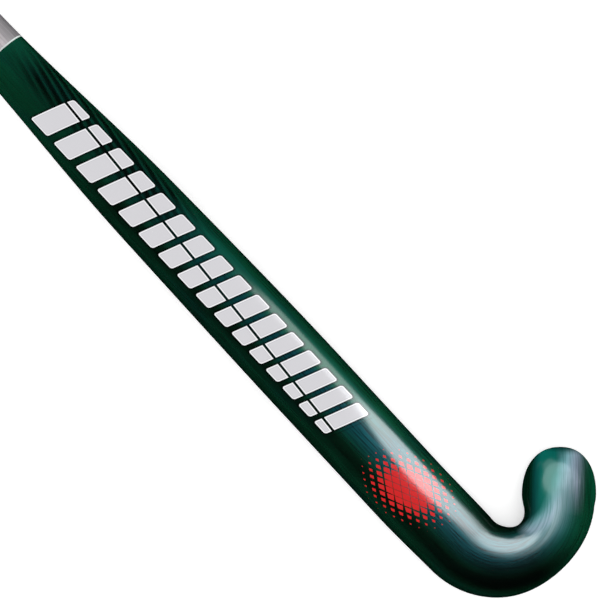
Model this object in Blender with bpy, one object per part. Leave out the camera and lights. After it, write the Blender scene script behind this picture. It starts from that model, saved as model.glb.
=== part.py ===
"""Indoor hockey stick: laminated wooden head, spliced cane handle, glass fibre skin and wound grip.

The stick lies with its flat playing face down and its rounded back up. +Y runs up the shaft to the butt,
+X points to the toe side and +Z points out of the rounded back. Units are metres.

Most pieces are lofts of one section, which the function ring gives for any place along the middle line and
for any layer: the skin, the wood under it, and the grip over it all take their shape from the same sizes.
"""
import math

import bmesh
import bpy
from mathutils import Vector

# Overall sizes
STICK_LENGTH = 0.927
SHAFT_WIDTH = 0.047
SHAFT_THICKNESS = 0.0205
HANDLE_WIDTH = 0.030
HANDLE_THICKNESS = 0.0275
HANDLE_DRIFT = 0.0020

# Where the shaft changes, as heights above the lowest edge of the head
TAPER_START = 0.175
TAPER_BREAK = 0.315
TAPER_END = 0.465
TAPER_BREAK_WIDTH = 0.0432
ROUNDING_START = 0.235
BOW_START = 0.115
BOW_END = 0.610
BOW_RADIUS = 5.6

# The hook: the middle line bends on one radius and runs on into the toe
HOOK_RADIUS = 0.0338
HOOK_TURN = 136.3
HOOK_BOTTOM = 0.0181
HOOK_EASE = 0.045
TOE_REACH = 0.0057
TOE_NOSE = 0.0281
TOE_FULLNESS = 2.25

# Half widths of the head at the start, thirds and end of the bend and at the bulb of the toe,
# first on the throat side, then on the outer side
THROAT_AT_BEND = 0.0242
THROAT_AT_THIRD = 0.0217
THROAT_AT_TWO_THIRDS = 0.0183
THROAT_AT_TOE = 0.0213
THROAT_AT_BULB = 0.0222
OUTER_AT_BEND = 0.0219
OUTER_AT_THIRD = 0.0205
OUTER_AT_TWO_THIRDS = 0.0179
OUTER_AT_TOE = 0.0198
OUTER_AT_BULB = 0.0212

# The D section: a flat face, an edge that rounds up to the waist, and a full back
FACE_EDGE = 0.0045
WAIST_HEIGHT = 0.0072
BACK_FULLNESS = 2.25
HANDLE_FULLNESS = 2.1
HANDLE_FLAT = 0.0015

# Layers, and the thin gap that glue fills between any two pieces
GLUE_LINE = 0.0003
SKIN_WALL = 0.0010
UNDERLAY_WALL = 0.0010
WRAP_WALL = 0.0013
WRAP_LAP = 0.0007
WRAP_PITCH = 0.0225
WRAP_LAP_SHARE = 0.93
BAND_WALL = 0.0007

# The wooden core
LAMINATIONS = 8
SPLICE_TIP = 0.300
SPLICE_ROOT = 0.445
SPLICE_TIP_WIDTH = 0.003
SPLICE_SHOULDER = 0.0022
CANE_MIDDLE = 0.0066
RUBBER_THICKNESS = 0.0016
CARBON_WIDTH = 0.014
CARBON_THICKNESS = 0.0006
CARBON_START = 0.080
CARBON_END = 0.285

# The handle end
GRIP_START = 0.600
SKIN_UNDER_GRIP = 0.040
BAND_ON_GRIP = 0.013
BAND_ON_SHAFT = 0.005
BAND_RAMP = 0.002
CAP_THICKNESS = 0.0045
CAP_CROWN = 0.0015
CAP_SKIRT = 0.016
CAP_EDGE = 0.0018

# Where the paint changes from green to silver
SILVER_START = 0.433

# How finely the shapes are drawn
BACK_STEPS = 14
EDGE_STEPS = 4
HOOK_STEPS = 18
NOSE_STEPS = 7
TAPER_STEPS = 12
SHARP_ANGLE = math.radians(35)

# How far a cutter stands clear of what it cuts
REACH = 0.03

BEND_HEIGHT = HOOK_BOTTOM + HOOK_RADIUS
BEND_LENGTH = HOOK_RADIUS * math.radians(HOOK_TURN)
BULB = BEND_LENGTH + TOE_REACH
MID_HEIGHT = SHAFT_THICKNESS / 2
HANDLE_HALF = HANDLE_THICKNESS / 2
CORE_INSET = SKIN_WALL + GLUE_LINE
UNDERLAY_INSIDE = GLUE_LINE
UNDERLAY_OUTSIDE = UNDERLAY_INSIDE + UNDERLAY_WALL
WRAP_INSIDE = UNDERLAY_OUTSIDE + GLUE_LINE
WRAP_OUTSIDE = WRAP_INSIDE + WRAP_WALL + WRAP_LAP
CAP_UNDERSIDE = STICK_LENGTH - CAP_THICKNESS
SKIN_TOP = GRIP_START + SKIN_UNDER_GRIP


def smooth(low, high, value):
    """0 below low, 1 above high, and an even S curve between them."""
    t = min(max((value - low) / (high - low), 0.0), 1.0)
    return t * t * (3.0 - 2.0 * t)


def through(points, value):
    """A smooth curve through a few (place, size) points that never overshoots, level at its two ends."""
    if value <= points[0][0]:
        return points[0][1]
    slopes = [0.0]
    for (x0, y0), (x1, y1), (x2, y2) in zip(points, points[1:], points[2:]):
        before = (y1 - y0) / (x1 - x0)
        after = (y2 - y1) / (x2 - x1)
        slopes.append(2.0 * before * after / (before + after) if before * after > 0.0 else 0.0)
    slopes.append(0.0)
    for (x0, y0), (x1, y1), start, end in zip(points, points[1:], slopes, slopes[1:]):
        if value <= x1:
            t = (value - x0) / (x1 - x0)
            rise = y1 - y0
            lead = start * (x1 - x0)
            trail = end * (x1 - x0)
            bend = 3.0 * rise - 2.0 * lead - trail
            return y0 + t * (lead + t * (bend + t * (lead + trail - 2.0 * rise)))
    return points[-1][1]


def bow_lift(height):
    """How far the bow raises the face. Head and handle are straight, and the shaft between is an arc."""
    half_span = (BOW_END - BOW_START) / 2
    near = BOW_START + half_span
    far = STICK_LENGTH - BOW_END + half_span
    turn = 2 * half_span / BOW_RADIUS
    # The grip touches the floor at the butt as the head does at its lowest edge.
    butt_lift = HANDLE_HALF + WRAP_OUTSIDE - MID_HEIGHT
    head_slope = (butt_lift + turn * far) / (near + far)
    along_arc = min(max(height - BOW_START, 0.0), 2 * half_span)
    past_arc = max(height - BOW_END, 0.0)
    straight = head_slope * (min(height, BOW_START) + along_arc)
    return straight - along_arc**2 / (2 * BOW_RADIUS) - (turn - head_slope) * past_arc


def middle_line(distance):
    """Point and heading on the middle line. Distance is 0 where the bend starts and less than 0 up the shaft."""
    if distance <= 0.0:
        return Vector((0.0, BEND_HEIGHT - distance)), Vector((0.0, -1.0))
    angle = min(distance, BEND_LENGTH) / HOOK_RADIUS
    heading = Vector((math.sin(angle), -math.cos(angle)))
    bend = Vector((HOOK_RADIUS * (1.0 - math.cos(angle)), BEND_HEIGHT - HOOK_RADIUS * math.sin(angle)))
    return bend + heading * max(0.0, distance - BEND_LENGTH), heading


def half_widths(distance):
    """Half widths on the throat side and on the outer side."""
    height = BEND_HEIGHT - distance
    if distance <= -HOOK_EASE:
        stations = [(TAPER_START, SHAFT_WIDTH), (TAPER_BREAK, TAPER_BREAK_WIDTH), (TAPER_END, HANDLE_WIDTH)]
        half = through(stations, height) / 2
        return half, half
    places = [-HOOK_EASE, 0.0, BEND_LENGTH / 3, BEND_LENGTH * 2 / 3, BEND_LENGTH, BULB]
    half = SHAFT_WIDTH / 2
    throat = [half, THROAT_AT_BEND, THROAT_AT_THIRD, THROAT_AT_TWO_THIRDS, THROAT_AT_TOE, THROAT_AT_BULB]
    outer = [half, OUTER_AT_BEND, OUTER_AT_THIRD, OUTER_AT_TWO_THIRDS, OUTER_AT_TOE, OUTER_AT_BULB]
    return through(list(zip(places, throat)), distance), through(list(zip(places, outer)), distance)


def place(distance, across, up):
    """A point of the stick: along the middle line, across it towards the throat, and up from the face."""
    point, heading = middle_line(distance)
    x = point.x - heading.y * across
    y = point.y + heading.x * across
    if distance < 0.0:
        x -= HANDLE_DRIFT * smooth(TAPER_START, TAPER_END, point.y)
    return Vector((x, y, up + bow_lift(y)))


def ring(distance, inset):
    """One closed section of the stick, taken in by inset all round. Less than 0 lies outside the paint."""
    throat, outer = half_widths(distance)
    oval = smooth(ROUNDING_START, TAPER_END, BEND_HEIGHT - distance)
    edge = FACE_EDGE + (min(throat, outer) - HANDLE_FLAT - FACE_EDGE) * oval - inset
    waist = WAIST_HEIGHT + (MID_HEIGHT - WAIST_HEIGHT) * oval
    top = SHAFT_THICKNESS + (MID_HEIGHT + HANDLE_HALF - SHAFT_THICKNESS) * oval - inset
    low = (MID_HEIGHT - HANDLE_HALF) * oval + inset
    fullness = BACK_FULLNESS + (HANDLE_FULLNESS - BACK_FULLNESS) * oval
    throat -= inset
    outer -= inset
    if distance > BULB:
        # The nose of the toe closes in plan as a full half ellipse, and rounds over as the sides do.
        nose = TOE_NOSE - inset
        share = min((distance - BULB) / nose, 1.0)
        shrink = (1.0 - share**TOE_FULLNESS) ** (1.0 / TOE_FULLNESS)
        throat *= shrink
        outer *= shrink
        top = waist + (top - waist) * (1.0 - share**fullness) ** (1.0 / fullness)
        left = min(nose * (1.0 - share) / edge, 1.0)
        low = waist - (waist - low) * math.sqrt(1.0 - (1.0 - left) ** 2)
        edge = min(edge, 0.8 * throat, 0.8 * outer)
    section = []
    for i in range(BACK_STEPS + 1):
        angle = math.pi * i / BACK_STEPS
        half = throat if i < BACK_STEPS / 2 else outer
        across = math.copysign(abs(math.cos(angle)) ** (2.0 / fullness), math.cos(angle)) * half
        section.append((across, waist + (top - waist) * math.sin(angle) ** (2.0 / fullness)))
    for side, half in ((-1.0, outer), (1.0, throat)):
        corner = []
        for i in range(1, EDGE_STEPS + 1):
            angle = math.pi / 2 * i / EDGE_STEPS
            across = half - edge * (1.0 - math.cos(angle))
            corner.append((side * across, waist - (waist - low) * math.sin(angle)))
        section += corner if side < 0.0 else corner[::-1]
    return [place(distance, across, up) for across, up in section]


def shaft_stops(high, low):
    """Distances of the sections on the straight shaft, from the height high down to the height low."""
    step = (TAPER_END - BOW_START) / TAPER_STEPS
    marks = [BEND_HEIGHT + HOOK_EASE * share for share in (0.33, 0.67, 1.0)]
    marks += [BOW_START + step * i for i in range(TAPER_STEPS + 1)]
    marks += [TAPER_END + (BOW_END - TAPER_END) * share for share in (0.33, 0.67, 1.0)]
    marks.append(SILVER_START)
    marks = [mark for mark in sorted(marks) if low + step / 4 < mark < high - step / 4]
    return [BEND_HEIGHT - height for height in [high, *reversed(marks), low]]


def head_stops(inset):
    """Distances of the sections round the hook and over the nose of the toe, short of its tip."""
    stops = [BEND_LENGTH * i / HOOK_STEPS for i in range(1, HOOK_STEPS + 1)] + [BULB]
    nose = TOE_NOSE - inset
    return stops + [BULB + nose * math.sin(math.pi / 2 * i / NOSE_STEPS) for i in range(1, NOSE_STEPS)]


def add_loops(bm, rings, closed=False):
    """A tube of quads through rings of points. Closed joins the last ring to the first."""
    loops = [[bm.verts.new(point) for point in points] for points in rings]
    pairs = list(zip(loops, loops[1:]))
    if closed:
        pairs.append((loops[-1], loops[0]))
    for first, second in pairs:
        for i in range(len(first)):
            j = (i + 1) % len(first)
            bm.faces.new((first[i], first[j], second[j], second[i]))
    return loops


def close_with_fan(bm, loop, point):
    centre = bm.verts.new(point)
    for i in range(len(loop)):
        bm.faces.new((loop[i], loop[(i + 1) % len(loop)], centre))


def tip(inset):
    return place(BULB + TOE_NOSE - inset, 0.0, WAIST_HEIGHT)


def make_object(name, bm, collection):
    bmesh.ops.recalc_face_normals(bm, faces=bm.faces)
    mesh = bpy.data.meshes.new(name)
    bm.to_mesh(mesh)
    bm.free()
    mesh.shade_smooth()
    mesh.set_sharp_from_angle(angle=SHARP_ANGLE)
    obj = bpy.data.objects.new(name, mesh)
    collection.objects.link(obj)
    return obj


def head_blank(name, collection):
    """The wood of head and lower shaft in one piece, from above the splice round to the toe."""
    bm = bmesh.new()
    stops = shaft_stops(SPLICE_ROOT + REACH, BEND_HEIGHT) + head_stops(CORE_INSET)
    loops = add_loops(bm, [ring(stop, CORE_INSET) for stop in stops])
    bm.faces.new(loops[0])
    close_with_fan(bm, loops[-1], tip(CORE_INSET))
    return make_object(name, bm, collection)


def handle_blank(name, collection):
    """The wood of the handle in one piece, from below the splice up to the butt."""
    bm = bmesh.new()
    stops = shaft_stops(CAP_UNDERSIDE - GLUE_LINE, SPLICE_TIP - REACH)
    loops = add_loops(bm, [ring(stop, CORE_INSET) for stop in stops])
    bm.faces.new(loops[0])
    bm.faces.new(loops[-1])
    return make_object(name, bm, collection)


def bar(name, collection, stops, section):
    """A bar swept along the stick. Section gives its two sides and its underside and top at each stop."""
    bm = bmesh.new()
    rings = []
    for stop in stops:
        left, right, low, high = section(stop)
        corners = ((left, low), (right, low), (right, high), (left, high))
        rings.append([place(stop, across, up) for across, up in corners])
    loops = add_loops(bm, rings)
    bm.faces.new(loops[0])
    bm.faces.new(loops[-1])
    return make_object(name, bm, collection)


def turned(name, collection, profile, closed=True):
    """A layer round the handle, as if turned. The profile is a list of (height, inset) points."""
    bm = bmesh.new()
    rings = [ring(BEND_HEIGHT - height, inset) for height, inset in profile]
    loops = add_loops(bm, rings, closed)
    if not closed:
        for loop, (height, _) in zip((loops[0], loops[-1]), (profile[0], profile[-1])):
            close_with_fan(bm, loop, place(BEND_HEIGHT - height, 0.0, MID_HEIGHT))
    return make_object(name, bm, collection)


def sleeve(name, collection, low, high, inside, outside):
    return turned(name, collection, [(low, inside), (high, inside), (high, outside), (low, outside)])


def use_boolean(obj, cutter, operation):
    modifier = obj.modifiers.new(cutter.name, "BOOLEAN")
    modifier.operation = operation
    modifier.object = cutter
    modifier.solver = "EXACT"


def splice_cutter(name, collection, grow):
    """The V of the handle seen from the face, as an upright prism that widens to the whole handle."""
    root_half = half_widths(BEND_HEIGHT - SPLICE_ROOT)[0] - CORE_INSET - SPLICE_SHOULDER + grow
    tip_half = SPLICE_TIP_WIDTH / 2 + grow
    root_middle = place(BEND_HEIGHT - SPLICE_ROOT, 0.0, 0.0).x
    tip_middle = place(BEND_HEIGHT - SPLICE_TIP, 0.0, 0.0).x
    root = SPLICE_ROOT - grow
    far = STICK_LENGTH + REACH
    outline = [
        (tip_middle - tip_half, SPLICE_TIP - grow),
        (tip_middle + tip_half, SPLICE_TIP - grow),
        (root_middle + root_half, root),
        (SHAFT_WIDTH, root),
        (SHAFT_WIDTH, far),
        (-SHAFT_WIDTH, far),
        (-SHAFT_WIDTH, root),
        (root_middle - root_half, root),
    ]
    bm = bmesh.new()
    levels = (-REACH - HANDLE_THICKNESS, REACH + 2 * HANDLE_THICKNESS)
    loops = add_loops(bm, [[Vector((x, y, z)) for x, y in outline] for z in levels])
    bm.faces.new(loops[0])
    bm.faces.new(loops[-1])
    return make_object(name, bm, collection)


def lamination_cutter(index, collection):
    """The curved slice of the head that one lamination fills, of an even share of the width."""
    stops = shaft_stops(SPLICE_ROOT + 2 * REACH, BEND_HEIGHT) + head_stops(0.0) + [BULB + TOE_NOSE + REACH]

    def side(distance, line):
        throat, outer = (half - CORE_INSET for half in half_widths(distance))
        if line == 0:
            return -outer - REACH
        if line == LAMINATIONS:
            return (throat + HOOK_RADIUS) / 2
        share = 2.0 * line / LAMINATIONS - 1.0
        return share * (throat if share > 0.0 else outer)

    def section(distance):
        low = side(distance, index) + GLUE_LINE / 2
        high = side(distance, index + 1) - GLUE_LINE / 2
        return low, high, -REACH, REACH + HANDLE_THICKNESS

    return bar(f"lamination_cutter_{index + 1}", collection, stops, section)


def add_head_laminations(parts, cutters, splice, groove):
    for index in range(LAMINATIONS):
        lamination = head_blank(f"head_lamination_{index + 1}", parts)
        use_boolean(lamination, lamination_cutter(index, cutters), "INTERSECT")
        use_boolean(lamination, splice, "DIFFERENCE")
        use_boolean(lamination, groove, "DIFFERENCE")
        finish(lamination, "mulberry wood", "#c89b62", 0.55)


def add_handle_core(parts, cutters, splice):
    """Three cane slips with a rubber strip in each joint, all cut to the V of the splice."""
    stops = shaft_stops(STICK_LENGTH + REACH, SPLICE_TIP - 2 * REACH)
    middle = CANE_MIDDLE / 2
    rubber = middle + GLUE_LINE
    outer = rubber + RUBBER_THICKNESS + GLUE_LINE
    layers = (
        ("cane_slip_face", -REACH, -outer),
        ("handle_rubber_face", -rubber - RUBBER_THICKNESS, -rubber),
        ("cane_slip_middle", -middle, middle),
        ("handle_rubber_back", rubber, rubber + RUBBER_THICKNESS),
        ("cane_slip_back", outer, REACH),
    )
    for name, low, high in layers:
        def section(distance, low=low, high=high):
            return -SHAFT_WIDTH, SHAFT_WIDTH, MID_HEIGHT + low, MID_HEIGHT + high

        layer = handle_blank(name, parts)
        use_boolean(layer, splice, "INTERSECT")
        use_boolean(layer, bar(f"{name}_cutter", cutters, stops, section), "INTERSECT")
        if "rubber" in name:
            finish(layer, "black rubber", "#242322", 0.8)
        else:
            finish(layer, "manau cane", "#d6b980", 0.6)


def add_carbon_strip(parts):
    def section(distance):
        return -CARBON_WIDTH / 2, CARBON_WIDTH / 2, CORE_INSET, CORE_INSET + CARBON_THICKNESS

    strip = bar("carbon_strip", parts, shaft_stops(CARBON_END, CARBON_START), section)
    finish(strip, "carbon fibre", "#17181a", 0.35)


def carbon_groove(cutters):
    def section(distance):
        half = CARBON_WIDTH / 2 + GLUE_LINE
        return -half, half, -REACH, CORE_INSET + CARBON_THICKNESS + GLUE_LINE

    stops = shaft_stops(CARBON_END + GLUE_LINE, CARBON_START - GLUE_LINE)
    return bar("carbon_groove_cutter", cutters, stops, section)


def add_skin(parts):
    """The moulded skin: an open-ended shell, closed round the toe and cut square under the grip."""
    bm = bmesh.new()
    loops = []
    for inset in (0.0, SKIN_WALL):
        stops = shaft_stops(SKIN_TOP, BEND_HEIGHT) + head_stops(inset)
        walls = add_loops(bm, [ring(stop, inset) for stop in stops])
        close_with_fan(bm, walls[-1], tip(inset))
        loops.append(walls[0])
    for i in range(len(loops[0])):
        j = (i + 1) % len(loops[0])
        bm.faces.new((loops[0][i], loops[0][j], loops[1][j], loops[1][i]))
    skin = make_object("fibreglass_skin", bm, parts)
    finish(skin, "green lacquer", "#0b3f2c", 0.12)
    skin.data.materials.append(material("silver lacquer", "#aeb3b8", 0.25, 0.6))
    for face in skin.data.polygons:
        if face.center.y > SILVER_START:
            face.material_index = 1


def add_binding(parts):
    high = CAP_UNDERSIDE - CAP_SKIRT - GLUE_LINE
    binding = sleeve("handle_binding", parts, SKIN_TOP + GLUE_LINE, high, SKIN_WALL, 0.0)
    finish(binding, "waxed twine", "#b9a67c", 0.85)


def add_underlay(parts):
    high = CAP_UNDERSIDE - GLUE_LINE
    underlay = sleeve("grip_underlay", parts, GRIP_START, high, -UNDERLAY_INSIDE, -UNDERLAY_OUTSIDE)
    finish(underlay, "closed cell foam", "#3b3d40", 0.9)


def wrap_cutter(collection):
    """The outside of the grip tape: one ramp a turn, wound up the handle past both ends of the grip."""
    count = BACK_STEPS + 1 + 2 * EDGE_STEPS
    start = GRIP_START - 1.5 * WRAP_PITCH
    turns = math.ceil((CAP_UNDERSIDE - start) / WRAP_PITCH) + 1
    rows = []
    for turn in range(turns):
        for share, inset in ((0.0, WRAP_LAP - WRAP_OUTSIDE), (WRAP_LAP_SHARE, -WRAP_OUTSIDE)):
            row = []
            for i in range(count):
                height = start + WRAP_PITCH * (turn + share + i / count)
                row.append(ring(BEND_HEIGHT - height, inset)[i])
            rows.append(row)
    bm = bmesh.new()
    verts = [[bm.verts.new(point) for point in row] for row in rows]
    last = len(verts) - 1
    for r in range(last):
        for i in range(count - 1):
            bm.faces.new((verts[r][i], verts[r][i + 1], verts[r + 1][i + 1], verts[r + 1][i]))
        # A turn closes on the start of the next turn, which lies two rows further on.
        if r + 3 <= last:
            bm.faces.new((verts[r][-1], verts[r + 2][0], verts[r + 3][0], verts[r + 1][-1]))
    bottom = verts[0] + [verts[2][0], verts[1][0]]
    top = verts[last] + [verts[last - 1][-1], verts[last - 2][-1]]
    for loop, height in ((bottom, start - WRAP_PITCH), (top, start + WRAP_PITCH * (turns + 1))):
        close_with_fan(bm, loop, place(BEND_HEIGHT - height, 0.0, MID_HEIGHT))
    return make_object("grip_wrap_cutter", bm, collection)


def add_wrap(parts, cutters):
    high = CAP_UNDERSIDE - GLUE_LINE
    wrap = sleeve("grip_wrap", parts, GRIP_START, high, -WRAP_INSIDE, -WRAP_OUTSIDE - UNDERLAY_WALL)
    use_boolean(wrap, wrap_cutter(cutters), "INTERSECT")
    finish(wrap, "polyurethane tape", "#1d2022", 0.7)


def add_band(parts):
    """The finishing band: it laps from the grip down over the end of the tape on to the shaft."""
    inside = GLUE_LINE
    over = WRAP_OUTSIDE + GLUE_LINE
    step = GRIP_START - GLUE_LINE
    high = GRIP_START + BAND_ON_GRIP
    low = GRIP_START - BAND_ON_SHAFT
    profile = [
        (low, -inside),
        (step, -inside),
        (step, -over),
        (high, -over),
        (high, -over - BAND_WALL),
        (step - BAND_WALL, -over - BAND_WALL),
        (step - BAND_WALL - BAND_RAMP, -inside - BAND_WALL),
        (low, -inside - BAND_WALL),
    ]
    finish(turned("grip_band", parts, profile), "vinyl tape", "#c9ccd0", 0.4)


def add_cap(parts):
    """The butt cap: a crowned disc as wide as the grip, with a skirt that grips the end of the cane."""
    rim = WRAP_OUTSIDE
    shoulder = STICK_LENGTH - CAP_CROWN
    profile = [(STICK_LENGTH, HANDLE_HALF / 2), (shoulder, CAP_EDGE - rim)]
    for i in (1, 2, 3):
        angle = math.pi / 2 * i / 3
        profile.append((shoulder - CAP_EDGE * (1.0 - math.cos(angle)), CAP_EDGE * (1.0 - math.sin(angle)) - rim))
    profile += [
        (CAP_UNDERSIDE, -rim),
        (CAP_UNDERSIDE, 0.0),
        (CAP_UNDERSIDE - CAP_SKIRT, 0.0),
        (CAP_UNDERSIDE - CAP_SKIRT, SKIN_WALL),
        (CAP_UNDERSIDE, SKIN_WALL),
    ]
    finish(turned("butt_cap", parts, profile, closed=False), "moulded rubber", "#161718", 0.6)


def material(name, colour, roughness, metallic=0.0):
    """A material from an sRGB hex colour."""
    made = bpy.data.materials.new(name)
    made.use_nodes = True
    shader = made.node_tree.nodes["Principled BSDF"]
    channels = [int(colour[i : i + 2], 16) / 255 for i in (1, 3, 5)]
    linear = [c / 12.92 if c <= 0.04045 else ((c + 0.055) / 1.055) ** 2.4 for c in channels]
    shader.inputs["Base Color"].default_value = (*linear, 1.0)
    shader.inputs["Roughness"].default_value = roughness
    shader.inputs["Metallic"].default_value = metallic
    return made


def finish(obj, name, colour, roughness):
    known = bpy.data.materials.get(name)
    obj.data.materials.append(known or material(name, colour, roughness))


def stand_on_origin(parts, cutters):
    """Puts the origin under the middle of the stick, on the surface that it lies on."""
    frame = bpy.data.objects.new("stick_frame", None)
    parts.objects.link(frame)
    bpy.context.view_layer.update()
    depsgraph = bpy.context.evaluated_depsgraph_get()
    solids = [obj for obj in parts.objects if obj.type == "MESH"]
    corners = [Vector(corner) for obj in solids for corner in obj.evaluated_get(depsgraph).bound_box]
    low = [min(corner[axis] for corner in corners) for axis in range(3)]
    high = [max(corner[axis] for corner in corners) for axis in range(3)]
    frame.location = (-(low[0] + high[0]) / 2, -(low[1] + high[1]) / 2, -low[2])
    for obj in [*solids, *cutters.objects]:
        obj.parent = frame
    print("size in mm:", [round((b - a) * 1000, 1) for a, b in zip(low, high)])
    print("offset in mm:", [round(value * 1000, 2) for value in frame.location])


def main():
    for old in list(bpy.data.objects):
        bpy.data.objects.remove(old, do_unlink=True)
    parts = bpy.data.collections.new("indoor_hockey_stick")
    cutters = bpy.data.collections.new("cutters")
    for collection in (parts, cutters):
        bpy.context.scene.collection.children.link(collection)
    groove = carbon_groove(cutters)
    add_head_laminations(parts, cutters, splice_cutter("head_splice_cutter", cutters, GLUE_LINE), groove)
    add_handle_core(parts, cutters, splice_cutter("handle_splice_cutter", cutters, 0.0))
    add_carbon_strip(parts)
    add_skin(parts)
    add_binding(parts)
    add_underlay(parts)
    add_wrap(parts, cutters)
    add_band(parts)
    add_cap(parts)
    for cutter in cutters.objects:
        cutter.hide_render = True
        cutter.display_type = "WIRE"
    stand_on_origin(parts, cutters)


main()
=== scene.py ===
# %% [markdown]
# # An indoor hockey stick
# The stick lies face down on a pale studio floor and is seen from straight above its rounded back. Its
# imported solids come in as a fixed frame, which already has every piece at its true place and size. This
# script adds what the eye sees on them: a finer lacquered skin with its print, the wound grip, a finish
# for each piece, and the studio.

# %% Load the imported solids
import math

import bmesh
import bpy
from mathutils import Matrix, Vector


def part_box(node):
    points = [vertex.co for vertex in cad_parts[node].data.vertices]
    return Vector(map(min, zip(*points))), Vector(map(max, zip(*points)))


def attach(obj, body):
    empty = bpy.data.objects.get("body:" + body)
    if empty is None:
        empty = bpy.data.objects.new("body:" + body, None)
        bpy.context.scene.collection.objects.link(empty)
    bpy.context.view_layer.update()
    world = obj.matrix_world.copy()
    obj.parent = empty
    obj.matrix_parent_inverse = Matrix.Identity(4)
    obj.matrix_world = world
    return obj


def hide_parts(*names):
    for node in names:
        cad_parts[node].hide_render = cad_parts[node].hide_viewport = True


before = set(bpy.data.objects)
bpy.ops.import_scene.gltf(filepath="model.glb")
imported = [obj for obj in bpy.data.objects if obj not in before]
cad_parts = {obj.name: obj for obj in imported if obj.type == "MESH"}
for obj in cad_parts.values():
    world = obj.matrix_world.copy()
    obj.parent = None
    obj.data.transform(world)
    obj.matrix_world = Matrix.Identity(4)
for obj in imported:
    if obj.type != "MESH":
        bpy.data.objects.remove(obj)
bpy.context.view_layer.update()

# %% [markdown]
# ## The line and the section of a stick
# A stick maker draws a stick as one middle line with a section square to it. The line runs down the shaft,
# bends on one radius round the hook and runs on into the toe. The section is a D at the head, flat on the
# playing face and full at the back, and turns slowly into the oval of the handle. Modelling this by
# dragging points about would never give a clean reflection in gloss lacquer. A formula for the section at
# any place gives a surface as fine as the camera needs, and every layer of the stick can use it.

# %% Sizes of the line and the section, in metres
STICK_LENGTH = 0.927
SHAFT_WIDTH = 0.047
SHAFT_THICKNESS = 0.0205
HANDLE_WIDTH = 0.030
HANDLE_THICKNESS = 0.0275
HANDLE_DRIFT = 0.0020
TAPER_START = 0.175
TAPER_BREAK = 0.315
TAPER_END = 0.465
TAPER_BREAK_WIDTH = 0.0432
ROUNDING_START = 0.235
BOW_START = 0.115
BOW_END = 0.610
BOW_RADIUS = 5.6
HOOK_RADIUS = 0.0338
HOOK_TURN = 136.3
HOOK_BOTTOM = 0.0181
HOOK_EASE = 0.045
TOE_REACH = 0.0057
TOE_NOSE = 0.0281
TOE_FULLNESS = 2.25
THROAT_HALVES = (0.0242, 0.0217, 0.0183, 0.0213, 0.0222)
OUTER_HALVES = (0.0219, 0.0205, 0.0179, 0.0202, 0.0210)
FACE_EDGE = 0.0045
WAIST_HEIGHT = 0.0072
BACK_FULLNESS = 2.25
HANDLE_FULLNESS = 2.1
HANDLE_FLAT = 0.0015
WRAP_OUTSIDE = 0.0036

BEND_HEIGHT = HOOK_BOTTOM + HOOK_RADIUS
BEND_LENGTH = HOOK_RADIUS * math.radians(HOOK_TURN)
BULB = BEND_LENGTH + TOE_REACH
MID_HEIGHT = SHAFT_THICKNESS / 2
HANDLE_HALF = HANDLE_THICKNESS / 2
print("middle line from butt to toe:", round(STICK_LENGTH - BEND_HEIGHT + BULB + TOE_NOSE, 4), "m")


# %% Two smooth curves that sizes follow
def smooth(low, high, value):
    """0 below low, 1 above high, and an even S curve between them."""
    t = min(max((value - low) / (high - low), 0.0), 1.0)
    return t * t * (3.0 - 2.0 * t)


def through(points, value):
    """A smooth curve through a few (place, size) points that never overshoots, level at its two ends."""
    if value <= points[0][0]:
        return points[0][1]
    slopes = [0.0]
    for (x0, y0), (x1, y1), (x2, y2) in zip(points, points[1:], points[2:]):
        before = (y1 - y0) / (x1 - x0)
        after = (y2 - y1) / (x2 - x1)
        slopes.append(2.0 * before * after / (before + after) if before * after > 0.0 else 0.0)
    slopes.append(0.0)
    for (x0, y0), (x1, y1), start, end in zip(points, points[1:], slopes, slopes[1:]):
        if value <= x1:
            t = (value - x0) / (x1 - x0)
            rise = y1 - y0
            lead = start * (x1 - x0)
            trail = end * (x1 - x0)
            bend = 3.0 * rise - 2.0 * lead - trail
            return y0 + t * (lead + t * (bend + t * (lead + trail - 2.0 * rise)))
    return points[-1][1]


print("half way up an S curve:", smooth(0.0, 1.0, 0.5))


# %% The bow and the middle line
def bow_lift(height):
    """How far the bow raises the face. Head and handle are straight, and the shaft between is an arc."""
    half_span = (BOW_END - BOW_START) / 2
    near = BOW_START + half_span
    far = STICK_LENGTH - BOW_END + half_span
    turn = 2 * half_span / BOW_RADIUS
    butt_lift = HANDLE_HALF + WRAP_OUTSIDE - MID_HEIGHT
    head_slope = (butt_lift + turn * far) / (near + far)
    along_arc = min(max(height - BOW_START, 0.0), 2 * half_span)
    past_arc = max(height - BOW_END, 0.0)
    straight = head_slope * (min(height, BOW_START) + along_arc)
    return straight - along_arc**2 / (2 * BOW_RADIUS) - (turn - head_slope) * past_arc


def middle_line(distance):
    """Point and heading on the middle line. Distance is 0 where the bend starts and less up the shaft."""
    if distance <= 0.0:
        return Vector((0.0, BEND_HEIGHT - distance)), Vector((0.0, -1.0))
    angle = min(distance, BEND_LENGTH) / HOOK_RADIUS
    heading = Vector((math.sin(angle), -math.cos(angle)))
    bend = Vector((HOOK_RADIUS * (1.0 - math.cos(angle)), BEND_HEIGHT - HOOK_RADIUS * math.sin(angle)))
    return bend + heading * max(0.0, distance - BEND_LENGTH), heading


print("the bow lifts the face by up to", round(max(bow_lift(h / 100) for h in range(93)) * 1000, 1), "mm")


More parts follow.
